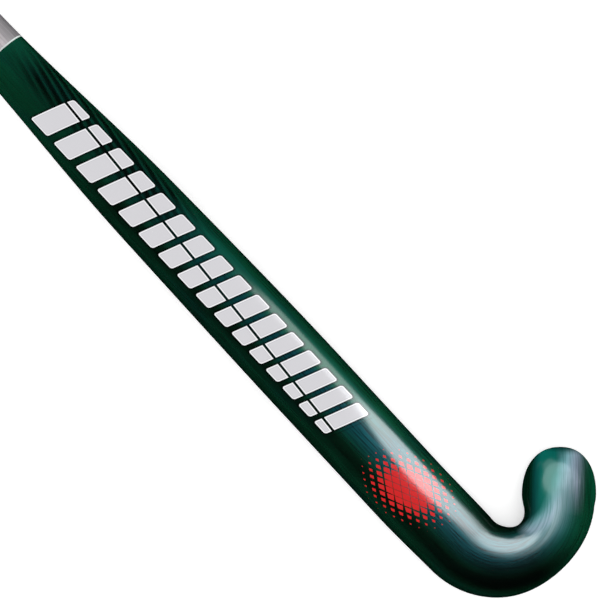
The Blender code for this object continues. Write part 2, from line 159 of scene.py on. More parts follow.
# %% Half widths, and a point of the stick
def half_widths(distance):
    """Half widths on the throat side and on the outer side."""
    height = BEND_HEIGHT - distance
    if distance <= -HOOK_EASE:
        stations = [(TAPER_START, SHAFT_WIDTH), (TAPER_BREAK, TAPER_BREAK_WIDTH), (TAPER_END, HANDLE_WIDTH)]
        half = through(stations, height) / 2
        return half, half
    places = [-HOOK_EASE, 0.0, BEND_LENGTH / 3, BEND_LENGTH * 2 / 3, BEND_LENGTH, BULB]
    throat = through(list(zip(places, (SHAFT_WIDTH / 2, *THROAT_HALVES))), distance)
    outer = through(list(zip(places, (SHAFT_WIDTH / 2, *OUTER_HALVES))), distance)
    return throat, outer


def drawn(distance, across, up):
    """A point of the drawing: along the middle line, across it towards the throat, and up from the face."""
    point, heading = middle_line(distance)
    x = point.x - heading.y * across
    y = point.y + heading.x * across
    if distance < 0.0:
        x -= HANDLE_DRIFT * smooth(TAPER_START, TAPER_END, point.y)
    return Vector((x, y, up + bow_lift(y)))


print("width at 300 mm up:", round(sum(half_widths(BEND_HEIGHT - 0.300)) * 1000, 1), "mm")

# %% [markdown]
# ## From the drawing to the room
# The drawing measures heights from the lowest edge of the head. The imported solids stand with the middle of
# their box on the origin instead. Two of them say how far the drawing was moved: the flat carbon strip,
# whose lower end is 80 mm up and 1.3 mm in from the face, and the butt cap, which ends at the full length.

# %% How far the drawing was moved
CARBON_WIDTH = 0.014
CARBON_START = 0.080
CORE_INSET = 0.0013
strip_low, strip_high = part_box("carbon_strip")
_, cap_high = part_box("butt_cap")
STAND = Vector((
    strip_high[0] - CARBON_WIDTH / 2,
    cap_high[1] - STICK_LENGTH,
    strip_low[2] - CORE_INSET - bow_lift(CARBON_START),
))
print("the drawing was moved by", [round(v * 1000, 2) for v in STAND], "mm")


def place(distance, across, up):
    """A point of the stick in the room."""
    return drawn(distance, across, up) + STAND


# %% [markdown]
# ## The camera
# The photograph was taken from straight above the stick's back, from far enough away that nothing in it
# looks tapered by distance. A shaft 47 mm wide covers 82 of its 600 pixels, so the picture spans 344 mm.
# A long lens from 1.3 m up gives that. The shaft leans 42.7 degrees in the picture, so the camera is
# turned by that much about the line that it looks along, and the stick itself stays in line with Y.

# %% Put things into the scene
def put(name, data):
    """A new object for a mesh, a light or a camera, in the scene."""
    made = bpy.data.objects.new(name, data)
    bpy.context.scene.collection.objects.link(made)
    return made


print("scene:", bpy.context.scene.name)

# %% Place the camera
PICTURE_SPAN = 600 * SHAFT_WIDTH / 82
PICTURE_MIDDLE = (0.0282, 0.2174)
PICTURE_TURN = math.radians(-42.67)
LENS = 135.0
camera_data = bpy.data.cameras.new("camera")
camera_data.lens = LENS
camera_data.clip_end = 20.0
camera = put("camera", camera_data)
height_of_waist = WAIST_HEIGHT + bow_lift(PICTURE_MIDDLE[1])
distance_to_waist = PICTURE_SPAN * LENS / camera_data.sensor_width
camera.location = Vector((*PICTURE_MIDDLE, height_of_waist + distance_to_waist)) + STAND
camera.rotation_euler = (0.0, 0.0, PICTURE_TURN)
bpy.context.scene.camera = camera
print("camera", round(distance_to_waist, 3), "m above the widest line of the stick")

# %% [markdown]
# ## Colours and nodes
# Paint makers give colours as sRGB hex codes, while a shader counts light in linear steps, so one function
# turns one into the other. A second function adds any node with its settings, its ramp stops and its
# links, so a material reads as a short list of what it is made of. A third makes a material.


# %% Functions for colours, nodes and materials
def linear(colour):
    """The linear colour of an sRGB hex value."""
    channels = [int(colour[i : i + 2], 16) / 255 for i in (1, 3, 5)]
    return (*[c / 12.92 if c <= 0.04045 else ((c + 0.055) / 1.055) ** 2.4 for c in channels], 1.0)


def add_node(tree, kind, links=None, stops=None, **settings):
    """Adds a node. Links gives its inputs, in order or by name, values, outputs or whole nodes' results."""
    node = tree.nodes.new("ShaderNode" + kind)
    for name, value in settings.items():
        setattr(node, name, value)
    if stops:
        ramp = node.color_ramp
        while len(ramp.elements) < len(stops):
            ramp.elements.new(1.0)
        for element, (position, colour) in zip(ramp.elements, stops):
            element.position = position
            element.color = linear(colour) if isinstance(colour, str) else (colour, colour, colour, 1.0)
    inputs = links if isinstance(links, dict) else dict(enumerate(links or ()))
    for key, value in inputs.items():
        if isinstance(value, bpy.types.Node):
            value = next(output for output in value.outputs if output.enabled)
        if isinstance(value, bpy.types.NodeSocket):
            tree.links.new(value, node.inputs[key])
        elif isinstance(value, str):
            node.inputs[key].default_value = linear(value)
        else:
            node.inputs[key].default_value = value
    return node


def new_material(name, **values):
    """A material with one Principled shader, and the shader's own values set on its sockets."""
    made = bpy.data.materials.new(name)
    made.use_nodes = True
    shader = made.node_tree.nodes["Principled BSDF"]
    for key, value in values.items():
        shader.inputs[key.replace("_", " ").title().replace("Ior", "IOR")].default_value = value
    return made, made.node_tree, shader


print("mid grey #808080 is", round(linear("#808080")[0], 3), "in linear light")

# %% [markdown]
# ## The studio
# The photograph has a blank white ground without shadows, and one long, soft reflection on the lacquer. A
# studio gets that with white paper lit from behind, an even light all round, three softboxes close above
# the head and the lower shaft, and a larger, weaker one above the handle. The even light is the world
# here. Mirror-like surfaces don't see it or the paper, as if black cloth hung round the table, and that
# keeps the rims of the stick dark and the lacquer deep.

# %% A pale floor
FLOOR_HALF = 4.0
FLOOR_GLOW = 0.38
floor_bm = bmesh.new()
bmesh.ops.create_grid(floor_bm, x_segments=1, y_segments=1, size=FLOOR_HALF)
floor_mesh = bpy.data.meshes.new("floor")
floor_bm.to_mesh(floor_mesh)
floor_bm.free()
floor = put("floor", floor_mesh)
floor_paper, tree, shader = new_material("white background paper", roughness=0.9, specular_ior_level=0.1)
speckle = add_node(tree, "TexNoise", {"Scale": 400.0, "Detail": 2.0})
pale = add_node(tree, "ValToRGB", {"Fac": speckle}, [(0.3, "#f7f7f7"), (0.7, "#fbfbfb")])
tree.links.new(pale.outputs["Color"], shader.inputs["Base Color"])
shader.inputs["Emission Color"].default_value = linear("#ffffff")
shader.inputs["Emission Strength"].default_value = FLOOR_GLOW
floor_mesh.materials.append(floor_paper)
floor.visible_glossy = False
print("floor", 2 * FLOOR_HALF, "m wide")

# %% Even light all round
EVEN_LIGHT = 1.08
world = bpy.data.worlds.new("even studio light")
bpy.context.scene.world = world
world.use_nodes = True
background = world.node_tree.nodes["Background"]
background.inputs["Color"].default_value = linear("#ffffff")
background.inputs["Strength"].default_value = EVEN_LIGHT
world.cycles_visibility.glossy = False
bpy.context.scene.view_settings.view_transform = "Standard"
print("even light of strength", EVEN_LIGHT)


# %% Softboxes
# The photograph's highlights are slightly blue, and so is the light of the boxes.
BOX_HEIGHT = 0.14
BOX_TINT = (0.93, 0.98, 1.0)


def softbox(name, at, size, radiance, turn=0.0, shape="RECTANGLE"):
    """A soft light that looks straight down from a point of the drawing. Only gloss shows it."""
    data = bpy.data.lights.new(name, "AREA")
    data.shape = shape
    data.size, data.size_y = size
    fill = math.pi / 4 if shape == "ELLIPSE" else 1.0
    data.energy = radiance * math.pi * size[0] * size[1] * fill
    data.color = BOX_TINT
    box = put(name, data)
    box.location = Vector(at) + STAND
    box.rotation_euler = (0.0, 0.0, math.radians(turn))
    box.visible_camera = False
    box.visible_diffuse = False
    return box


head_box = softbox("head softbox", (0.0945, 0.0715, BOX_HEIGHT), (0.140, 0.122), 12.0, shape="ELLIPSE")
toe_box = softbox("toe softbox", (0.1118, 0.013, BOX_HEIGHT), (0.150, 0.070), 4.8, turn=-18.0)
shaft_box = softbox("shaft softbox", (0.112, 0.176, BOX_HEIGHT), (0.088, 0.110), 4.6, turn=-10.0)
handle_box = softbox("handle softbox", (0.01, 0.84, 0.30), (0.22, 0.34), 1.6)
print("softboxes:", head_box.name, toe_box.name, shaft_box.name, handle_box.name)

# %% [markdown]
# ## The skin
# Under the paint a wooden stick is wrapped in glass fibre and resin, moulded to a smooth skin about 1 mm
# thick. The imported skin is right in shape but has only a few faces, and gloss lacquer shows every flat
# one. This skin follows the same formula with about five times as many faces. It also carries a map in
# millimetres, round the girth from the ridge of the back and along the middle line, so that paint and
# print can be laid out with a ruler.

# %% How finely the skin is drawn
BACK_STEPS = 44
CORNER_STEPS = 9
FACE_STEPS = 5
SKIN_WALL = 0.0010
SKIN_TOP = 0.640
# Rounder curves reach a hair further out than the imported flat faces, so the skin is drawn in by as much.
SKIN_INSET = 0.0001
SHAFT_SPACING = 0.006
print("points in a section:", BACK_STEPS + 1 + 2 * CORNER_STEPS + 2 * FACE_STEPS - 1)


# %% One section, from the middle of the face up over the back and round again
def outline(distance, inset):
    """Points of the section at a distance, across and up from the face, taken in by inset all round."""
    throat, outer = half_widths(distance)
    oval = smooth(ROUNDING_START, TAPER_END, BEND_HEIGHT - distance)
    edge = FACE_EDGE + (min(throat, outer) - HANDLE_FLAT - FACE_EDGE) * oval - inset
    waist = WAIST_HEIGHT + (MID_HEIGHT - WAIST_HEIGHT) * oval
    top = SHAFT_THICKNESS + (MID_HEIGHT + HANDLE_HALF - SHAFT_THICKNESS) * oval - inset
    low = (MID_HEIGHT - HANDLE_HALF) * oval + inset
    fullness = BACK_FULLNESS + (HANDLE_FULLNESS - BACK_FULLNESS) * oval
    throat -= inset
    outer -= inset
    if distance > BULB:
        nose = TOE_NOSE - inset
        share = min((distance - BULB) / nose, 1.0)
        shrink = (1.0 - share**TOE_FULLNESS) ** (1.0 / TOE_FULLNESS)
        throat *= shrink
        outer *= shrink
        top = waist + (top - waist) * (1.0 - share**fullness) ** (1.0 / fullness)
        left = min(nose * (1.0 - share) / edge, 1.0)
        low = waist - (waist - low) * math.sqrt(1.0 - (1.0 - left) ** 2)
        edge = min(edge, 0.8 * throat, 0.8 * outer)
    face_throat = [((throat - edge) * i / FACE_STEPS, low) for i in range(FACE_STEPS)]
    face_outer = [((edge - outer) * i / FACE_STEPS, low) for i in range(1, FACE_STEPS)]
    corners = []
    for side, half in ((1.0, throat), (-1.0, outer)):
        corner = []
        for i in range(1, CORNER_STEPS + 1):
            angle = math.pi / 2 * i / CORNER_STEPS
            across = half - edge * (1.0 - math.cos(angle))
            corner.append((side * across, waist - (waist - low) * math.sin(angle)))
        corners.append(corner)
    back = []
    for i in range(BACK_STEPS + 1):
        angle = math.pi * i / BACK_STEPS
        half = throat if i < BACK_STEPS / 2 else outer
        across = math.copysign(abs(math.cos(angle)) ** (2.0 / fullness), math.cos(angle)) * half
        back.append((across, waist + (top - waist) * abs(math.sin(angle)) ** (2.0 / fullness)))
    return face_throat + corners[0][::-1] + back + corners[1] + face_outer[::-1]


def section(distance, inset):
    return [place(distance, across, up) for across, up in outline(distance, inset)]


RIDGE = FACE_STEPS + CORNER_STEPS + BACK_STEPS // 2
ridge_point = section(BEND_HEIGHT - 0.2, 0.0)[RIDGE] - STAND
print("ridge height at 200 mm up:", round(ridge_point.z * 1000, 1), "mm")


# %% Millimetres round the girth and along the stick
def marks_of(ring, distance):
    """A (girth, height) mark in millimetres for each point, and once more for the point that closes it."""
    run = [0.0]
    for first, second in zip(ring, [*ring[1:], ring[0]]):
        run.append(run[-1] + (second - first).length)
    return [((run[RIDGE] - value) * 1000, (BEND_HEIGHT - distance) * 1000) for value in run]


sample = marks_of(section(BEND_HEIGHT - 0.2, 0.0), BEND_HEIGHT - 0.2)
print("girth at 200 mm up:", round(sample[0][0] - sample[-1][0], 1), "mm")


# %% A wall of quads with its marks
def add_wall(bm, uv, rings, marks):
    """Quads through closed rings of points. Each corner of a face takes the mark of its own point."""
    walls = [[bm.verts.new(point) for point in ring] for ring in rings]
    for r in range(len(rings) - 1):
        for i in range(len(rings[r])):
            j = (i + 1) % len(rings[r])
            face = bm.faces.new((walls[r][i], walls[r][j], walls[r + 1][j], walls[r + 1][i]))
            corners = (marks[r][i], marks[r][i + 1], marks[r + 1][i + 1], marks[r + 1][i])
            for loop, mark in zip(face.loops, corners):
                loop[uv].uv = mark
    return walls


def add_fan(bm, uv, ring, marks, point, height):
    """Triangles from a ring to one point, which takes its girth from each triangle's own two corners."""
    centre = bm.verts.new(point)
    for i in range(len(ring)):
        face = bm.faces.new((ring[i], ring[(i + 1) % len(ring)], centre))
        middle = ((marks[i][0] + marks[i + 1][0]) / 2, height)
        for loop, mark in zip(face.loops, (marks[i], marks[i + 1], middle)):
            loop[uv].uv = mark


def add_piece(name, bm, stands_for, sharp=35.0):
    """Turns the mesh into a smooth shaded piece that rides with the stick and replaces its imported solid."""
    bmesh.ops.recalc_face_normals(bm, faces=bm.faces)
    mesh = bpy.data.meshes.new(name)
    bm.to_mesh(mesh)
    bm.free()
    mesh.shade_smooth()
    mesh.set_sharp_from_angle(angle=math.radians(sharp))
    piece = put(name, mesh)
    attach(piece, "root")
    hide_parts(stands_for)
    print(name, "has", len(mesh.polygons), "faces")
    return piece


# %% Where the skin's sections stand
def section_stops(hook_steps, nose_steps, inset):
    """Distances of the sections: every 6 mm or so on the shaft, then closer round the hook and the nose."""
    count = round((SKIN_TOP - BEND_HEIGHT) / SHAFT_SPACING)
    shaft = [(BEND_HEIGHT - SKIN_TOP) * (1.0 - i / count) for i in range(count)]
    hook = [BEND_LENGTH * i / hook_steps for i in range(hook_steps + 1)]
    reach = [BEND_LENGTH + TOE_REACH * i / 3 for i in (1, 2, 3)]
    nose = TOE_NOSE - inset
    tip = [BULB + nose * math.sin(math.pi / 2 * i / nose_steps) for i in range(1, nose_steps)]
    return shaft + hook + reach + tip


outside_stops = section_stops(48, 22, SKIN_INSET)
inside_stops = section_stops(16, 8, SKIN_WALL)
print("sections outside and inside:", len(outside_stops), len(inside_stops))

# %% Build the skin
bm = bmesh.new()
uv = bm.loops.layers.uv.new("millimetres")
ends = []
for skin_stops, inset in ((outside_stops, SKIN_INSET), (inside_stops, SKIN_WALL)):
    rings = [section(stop, inset) for stop in skin_stops]
    marks = [marks_of(ring, stop) for ring, stop in zip(rings, skin_stops)]
    wall = add_wall(bm, uv, rings, marks)
    tip_distance = BULB + TOE_NOSE - inset
    tip_point = place(tip_distance, 0.0, WAIST_HEIGHT)
    add_fan(bm, uv, wall[-1], marks[-1], tip_point, (BEND_HEIGHT - tip_distance) * 1000)
    ends.append(wall[0])
for i in range(len(ends[0])):
    j = (i + 1) % len(ends[0])
    bm.faces.new((ends[0][i], ends[0][j], ends[1][j], ends[1][i]))
skin = add_piece("lacquered_skin", bm, "fibreglass_skin")
print("the packed skin has", len(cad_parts["fibreglass_skin"].data.polygons), "faces")

# %% [markdown]
# ## The grip
# The grip is a soft polyurethane tape over a thin foam layer. It is wound down from the butt, so the upper
# edge of each turn lies over the turn above it, and that is the step which the hand feels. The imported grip
# has the same spiral in a few faces. This one is wound the same way, one turn of rows after another, with a
# rounded edge to the lap, and is then cut square at both ends with a plane.

# %% Sizes of the grip
GRIP_START = 0.600
GLUE_LINE = 0.0003
CAP_UNDERSIDE = 0.9225
WRAP_INSIDE = 0.0016
WRAP_LAP = 0.0007
WRAP_PITCH = 0.0225
TURNS_CUT_OFF = 1.5
WELD = 1e-7
ON_CUT = 1e-5
# The handle keeps one section from 0.6 m up to the butt, and 0.75 m is a place well inside that.
HANDLE_SAMPLE = 0.75
# Each pair is a share of the pitch across the tape, and the share of the lap's rise that is reached there.
LAP_PROFILE = (
    (0.0, 0.0), (0.12, 0.10), (0.35, 0.33), (0.60, 0.62), (0.80, 0.86), (0.90, 0.99),
    (0.93, 1.0), (0.948, 0.90), (0.957, 0.66), (0.962, 0.30), (0.970, 0.06), (0.985, 0.0),
)
print("turns of tape:", round((CAP_UNDERSIDE - GRIP_START) / WRAP_PITCH, 1))

# %% Wind the tape
bm = bmesh.new()
uv = bm.loops.layers.uv.new("millimetres")
wind_start = GRIP_START - TURNS_CUT_OFF * WRAP_PITCH
turns = math.ceil((CAP_UNDERSIDE - wind_start) / WRAP_PITCH) + 1
middle = BEND_HEIGHT - HANDLE_SAMPLE
wrapped = section(middle, -WRAP_OUTSIDE)
girth_mm = sum((b - a).length for a, b in zip(wrapped, [*wrapped[1:], wrapped[0]])) * 1000
rows = []
row_marks = []
for turn in range(turns):
    for share, rise in LAP_PROFILE:
        shape = outline(middle, WRAP_LAP * (1.0 - rise) - WRAP_OUTSIDE)
        row = []
        for i, (across, up) in enumerate(shape):
            up_stick = wind_start + WRAP_PITCH * (turn + share + i / len(shape))
            row.append(bm.verts.new(place(BEND_HEIGHT - up_stick, across, up)))
        rows.append(row)
        across_tape = share * WRAP_PITCH * 1000
        row_marks.append([((turn + i / len(row)) * girth_mm, across_tape) for i in range(len(row) + 1)])
per_turn = len(LAP_PROFILE)
print("rows of tape:", len(rows))

# %% Join the rows, each turn's end to the next turn's start
tape_width = WRAP_PITCH * 1000
for r in range(len(rows) - 1):
    same_turn = r // per_turn == (r + 1) // per_turn
    for i in range(len(rows[r])):
        if i + 1 < len(rows[r]):
            corners = [rows[r][i], rows[r][i + 1], rows[r + 1][i + 1], rows[r + 1][i]]
        elif r + 1 + per_turn < len(rows):
            corners = [rows[r][i], rows[r + per_turn][0], rows[r + 1 + per_turn][0], rows[r + 1][i]]
        else:
            continue
        face = bm.faces.new(corners)
        low_left, low_right = row_marks[r][i], row_marks[r][i + 1]
        top_left, top_right = row_marks[r + 1][i], row_marks[r + 1][i + 1]
        if not same_turn:
            top_left, top_right = (low_left[0], tape_width), (low_right[0], tape_width)
        for loop, mark in zip(face.loops, (low_left, low_right, top_right, top_left)):
            loop[uv].uv = mark
print("faces of tape:", len(bm.faces))

# %% Cut both ends square and line the inside
wrap_high = CAP_UNDERSIDE - GLUE_LINE
for cut_height, outward in ((GRIP_START, -1.0), (wrap_high, 1.0)):
    bmesh.ops.bisect_plane(
        bm,
        geom=[*bm.verts, *bm.edges, *bm.faces],
        plane_co=(0.0, cut_height + STAND.y, 0.0),
        plane_no=(0.0, outward, 0.0),
        clear_outer=True,
        dist=WELD,
    )
for cut_height in (GRIP_START, wrap_high):
    cut_y = cut_height + STAND.y
    rim = [e for e in bm.edges if e.is_boundary and all(abs(v.co.y - cut_y) < ON_CUT for v in e.verts)]
    inner = [bm.verts.new(point) for point in section(BEND_HEIGHT - cut_height, -WRAP_INSIDE)]
    inner_edges = [bm.edges.new((inner[i], inner[(i + 1) % len(inner)])) for i in range(len(inner))]
    bmesh.ops.triangle_fill(bm, edges=rim + inner_edges, use_beauty=True)
    if cut_height == GRIP_START:
        first_inner = inner
for i in range(len(inner)):
    j = (i + 1) % len(inner)
    bm.faces.new((first_inner[i], first_inner[j], inner[j], inner[i]))
open_edges = sum(e.is_boundary for e in bm.edges)
grip = add_piece("grip_tape", bm, "grip_wrap", sharp=60.0)
print("open edges left:", open_edges)

# %% [markdown]
# ## The finishing band and the butt cap
# A strip of vinyl tape seals the end of the grip, and a moulded rubber cap closes the butt. Both follow
# the handle all round, so each is one profile, given as heights with a distance in or out from the paint,
# and the section formula carries it round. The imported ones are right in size. These add the soft edges of
# the tape and the moulded rings of the cap.

# %% Carry a profile round the handle
def turned(name, stands_for, profile, closed, sharp=35.0):
    """A piece from a list of (height, inset) points. Open ones are closed at both ends with a fan."""
    turned_bm = bmesh.new()
    turned_uv = turned_bm.loops.layers.uv.new("millimetres")
    profile = [*profile, profile[0]] if closed else profile
    rings = [section(BEND_HEIGHT - level, inset) for level, inset in profile]
    run = [0.0]
    for (h0, i0), (h1, i1) in zip(profile, profile[1:]):
        run.append(run[-1] + math.hypot(h1 - h0, i1 - i0) * 1000)
    marks = []
    for ring, along, (level, _) in zip(rings, run, profile):
        marks.append([(girth, along) for girth, _ in marks_of(ring, BEND_HEIGHT - level)])
    walls = add_wall(turned_bm, turned_uv, rings, marks)
    if closed:
        bmesh.ops.remove_doubles(turned_bm, verts=walls[0] + walls[-1], dist=WELD)
    else:
        for end in (0, -1):
            centre = place(BEND_HEIGHT - profile[end][0], 0.0, MID_HEIGHT)
            add_fan(turned_bm, turned_uv, walls[end], marks[end], centre, marks[end][0][1])
    return add_piece(name, turned_bm, stands_for, sharp)


print("profiles are carried round", len(outline(middle, 0.0)), "points")

# %% The finishing band, with rolled edges and a soft ramp off the grip
BAND_LOW = GRIP_START - 0.005
BAND_HIGH = GRIP_START + 0.013
BAND_STEP = GRIP_START - GLUE_LINE
BAND_WALL = 0.0007
BAND_OVER = WRAP_OUTSIDE + GLUE_LINE
RAMP_LENGTH = 0.002
RAMP_STEPS = 8
ramp = []
for i in range(RAMP_STEPS + 1):
    share = i / RAMP_STEPS
    level = BAND_STEP - BAND_WALL - RAMP_LENGTH * (1.0 - share)
    ramp.append((level, -GLUE_LINE - BAND_WALL - (BAND_OVER - GLUE_LINE) * smooth(0.0, 1.0, share)))
ROLLED_EDGE = ((0.0, 0.5), (0.0002, 0.87), (0.0005, 1.0))
band_profile = [
    (BAND_LOW, -GLUE_LINE),
    (BAND_STEP, -GLUE_LINE),
    (BAND_STEP, -BAND_OVER),
    (BAND_HIGH, -BAND_OVER),
    *[(BAND_HIGH - back, -BAND_OVER - BAND_WALL * part) for back, part in ROLLED_EDGE],
    *ramp[::-1],
    *[(BAND_LOW + back, -GLUE_LINE - BAND_WALL * part) for back, part in ROLLED_EDGE[::-1]],
]
band = turned("finishing_band", "grip_band", band_profile, closed=True)

# %% The butt cap, with a crown, two moulded rings and a dimple
CAP_CROWN = 0.0015
CAP_EDGE = 0.0018
CAP_SKIRT = 0.016
CROWN_STEPS = 40
EDGE_STEPS = 8
# The crown starts 12.8 mm in from the paint, which is close to the middle, and ends at the rounded edge.
# Each dent is at a share of the way out, with a depth in metres and a width as a share.
DENTS = ((0.0, 0.0006, 0.12), (0.42, 0.0004, 0.035), (0.74, 0.0004, 0.035))
CROWN_IN, CROWN_OUT = 0.0128, CAP_EDGE - WRAP_OUTSIDE
cap_profile = []
for i in range(CROWN_STEPS + 1):
    share = i / CROWN_STEPS
    dented = sum(depth * math.exp(-(((share - at) / width) ** 2)) for at, depth, width in DENTS)
    level = STICK_LENGTH - CAP_CROWN * share**2 - dented
    cap_profile.append((level, CROWN_IN + (CROWN_OUT - CROWN_IN) * share))
for i in range(1, EDGE_STEPS + 1):
    angle = math.pi / 2 * i / EDGE_STEPS
    level = STICK_LENGTH - CAP_CROWN - CAP_EDGE * (1.0 - math.cos(angle))
    cap_profile.append((level, CAP_EDGE * (1.0 - math.sin(angle)) - WRAP_OUTSIDE))
cap_profile += [
    (CAP_UNDERSIDE, -WRAP_OUTSIDE),
    (CAP_UNDERSIDE, 0.0),
    (CAP_UNDERSIDE - CAP_SKIRT, 0.0),
    (CAP_UNDERSIDE - CAP_SKIRT, SKIN_WALL),
    (CAP_UNDERSIDE, SKIN_WALL),
]
cap = turned("moulded_butt_cap", "butt_cap", cap_profile, closed=False)

# %% [markdown]
# ## The paint
# The lacquer is a bottle green base coat with fine metal flake, brushed lengthwise so that hair-thin darker
# lines run down it. Painted shade darkens it towards both flanks and round the bend, and painted glows and
# highlights in teal, green, lilac and pale blue lie round the reflection on the ridge and the toe. Above
# 435 mm the base coat is silver, with painted shading across it. A picture of it could be painted by hand,
# but noise that is stretched along the stick gives the same lines at any size. First come the girth and
# the height in millimetres, then the paint, then the print.

# %% Lacquer over metal flake
# Polyurethane lacquer has an IOR near 1.5. Flake makes the base coat part metallic and lets it glow teal
# round a reflection, and the clear coat over it gives the pale one. The coat's own reflection stands for
# the base's, which would only repeat it, so the base has none.
lacquer, tree, shader = new_material(
    "metal flake lacquer", coat_weight=1.0, coat_roughness=0.19, coat_ior=1.5, specular_ior_level=0.0
)
skin.data.materials.append(lacquer)
ruler = add_node(tree, "UVMap", uv_map="millimetres")
girth, height, _ = add_node(tree, "SeparateXYZ", [ruler]).outputs
print("lacquer reads", ruler.uv_map)

# %% [markdown]
# ### Working like a paint shop
# A sprayer lays each coat over the last one through stencils, and these say how much of it lands where. A
# stick is masked with a ruler in hand, so a stencil here is a list of places in millimetres, each with the
# share of paint that gets through. Where several stencils are laid over each other, their shares multiply.
# With those helpers the rest of the paint reads as a list of coats, from the first to the last.


# %% Grain, stencil and coat
def grains(tree, place, size, **values):
    """Noise with grains of a real size along the axes of a map in the same unit."""
    sized = add_node(tree, "Mapping", {"Vector": place, "Scale": [1 / length for length in size]})
    return add_node(tree, "TexNoise", {"Vector": sized, "Scale": 1.0, **values})


def stencil(tree, along, marks, soft=False):
    """Shares or colours at places along a ruler. They change evenly from mark to mark, or softly."""
    low, high = marks[0][0], marks[-1][0]
    scale = add_node(tree, "MapRange", {"Value": along, "From Min": low, "From Max": high})
    cut = add_node(tree, "ValToRGB", {"Fac": scale}, [((at - low) / (high - low), let) for at, let in marks])
    cut.color_ramp.interpolation = "EASE" if soft else "LINEAR"
    return cut


def overlap(tree, shares):
    """What gets through several stencils laid over each other."""
    through_all = shares[0]
    for share in shares[1:]:
        through_all = add_node(tree, "Math", [through_all, share], operation="MULTIPLY")
    return through_all


def coat(tree, below, colour, shares=(1.0,), blend="MIX"):
    """Lays a colour over the coats below through stencils, or darkens them by it with MULTIPLY."""
    amount = overlap(tree, shares)
    return add_node(tree, "Mix", {0: amount, 6: below, 7: colour}, data_type="RGBA", blend_type=blend)


print("a quarter of the way to its next mark, a soft stencil lets through", smooth(0.0, 1.0, 0.25))

# %% Hair lines and clouds in the base coat
# A brush line is about 0.9 mm wide here and 24 mm long. Real ones are near 0.3 mm, which the picture could
# not show. Each line keeps down to 46% of the light, and near the silver they are fainter.
LINE_WIDTH, LINE_LENGTH = 0.9, 24.0
CLOUD_WIDTH, CLOUD_LENGTH = 12.0, 70.0
lines = grains(tree, ruler, (LINE_WIDTH, LINE_LENGTH, 1.0), Detail=3.0, Roughness=0.6)
clouds = grains(tree, ruler, (CLOUD_WIDTH, CLOUD_LENGTH, 1.0), Detail=2.0)
green_tones = [(0.32, "#00462c"), (0.52, "#005235"), (0.68, "#004a3a")]
greens = add_node(tree, "ValToRGB", {"Fac": clouds}, green_tones)
line_shade = add_node(tree, "ValToRGB", {"Fac": lines}, [(0.34, 0.456), (0.56, 1.0)])
fainter = stencil(tree, height, [(330.0, 1.0), (400.0, 0.6)])
brushed = coat(tree, greens, line_shade, [fainter], blend="MULTIPLY")
print("brush lines", LINE_WIDTH, "by", LINE_LENGTH, "mm")

# %% Flake grain in the base coat
# Real flakes are about 0.1 mm across. They are drawn at 0.8 mm, as fine as the picture shows.
FLAKE_WIDTH = 0.8
flakes = grains(tree, ruler, (FLAKE_WIDTH, FLAKE_WIDTH, 1.0), Detail=1.0)
flake_shade = add_node(tree, "ValToRGB", {"Fac": flakes}, [(0.36, 0.701), (0.60, 1.0)])
grainy = coat(tree, brushed, flake_shade, blend="MULTIPLY")
print("flakes drawn", FLAKE_WIDTH, "mm wide")

# %% A painted teal glow on the ridge
# A teal colour is painted from 9 mm on the heel side of the ridge to 21 mm on the throat side, as a painted
# glow round the reflection there. It fades to a tenth up the shaft and is brushed too, which shows as
# darker lines in it.
TEAL_HEEL, TEAL_THROAT = -9.0, 21.0
teal_glow_shares = [
    stencil(tree, girth, [(TEAL_HEEL, 0.0), (3.0, 1.0), (12.0, 1.0), (TEAL_THROAT, 0.0)], soft=True),
    stencil(tree, height, [(170.0, 1.0), (400.0, 0.1)], soft=True),
]
teal = coat(tree, grainy, "#004c54", teal_glow_shares)
glow_shade = add_node(tree, "ValToRGB", {"Fac": lines}, [(0.38, 0.332), (0.50, 0.776), (0.60, 1.0)])
brushed_teal = coat(tree, teal, glow_shade, teal_glow_shares, blend="MULTIPLY")
print("teal glow between", TEAL_HEEL, "and", TEAL_THROAT, "mm of girth")

# %% A painted green glow along the toe side of the shaft
# Beside the teal lies a band of lighter green, at its fullest around 190 mm up: a painted glow beside the
# reflection.
green_glow_shares = [
    stencil(tree, girth, [(6.0, 0.0), (11.0, 1.0), (15.0, 1.0), (20.0, 0.0)]),
    stencil(tree, height, [(120.0, 0.0), (170.0, 1.0), (205.0, 1.0), (320.0, 0.0)]),
]
painted_green_glow = coat(tree, brushed_teal, "#005c44", green_glow_shares)
print("lighter green between 6 and 20 mm of girth, from 120 to 320 mm up")

# %% Painted teal glow and lilac reflection on the toe
# The middle line runs on into the toe, where heights are below 0. The painted teal glow is strongest there
# on the throat side, and a pale lilac painted reflection is brushed over the other side of the nose.
TOE_FULL, TOE_START = -22.0, 12.0
on_toe = stencil(tree, height, [(TOE_FULL, 1.0), (TOE_START, 0.0)], soft=True)
throat_side = stencil(tree, girth, [(-14.0, 0.0), (-5.0, 0.434), (8.0, 1.0), (12.0, 1.0), (19.0, 0.0)])
teal_glow_on_toe = coat(tree, painted_green_glow, "#006055", [on_toe, throat_side])
lilac_reflection_shares = [
    stencil(tree, height, [(-62.0, 0.0), (-57.8, 1.0), (-42.4, 1.0), (-24.2, 0.0)]),
    stencil(tree, girth, [(-14.0, 0.0), (-8.0, 1.0), (-3.0, 0.434), (4.0, 0.0)]),
    add_node(tree, "ValToRGB", {"Fac": lines}, [(0.36, 0.45), (0.58, 1.0)]),
]
painted_lilac_reflection = coat(tree, teal_glow_on_toe, "#7a8496", lilac_reflection_shares)
print("teal from -14 to 19 mm and lilac from -14 to 4 mm of girth on the toe")
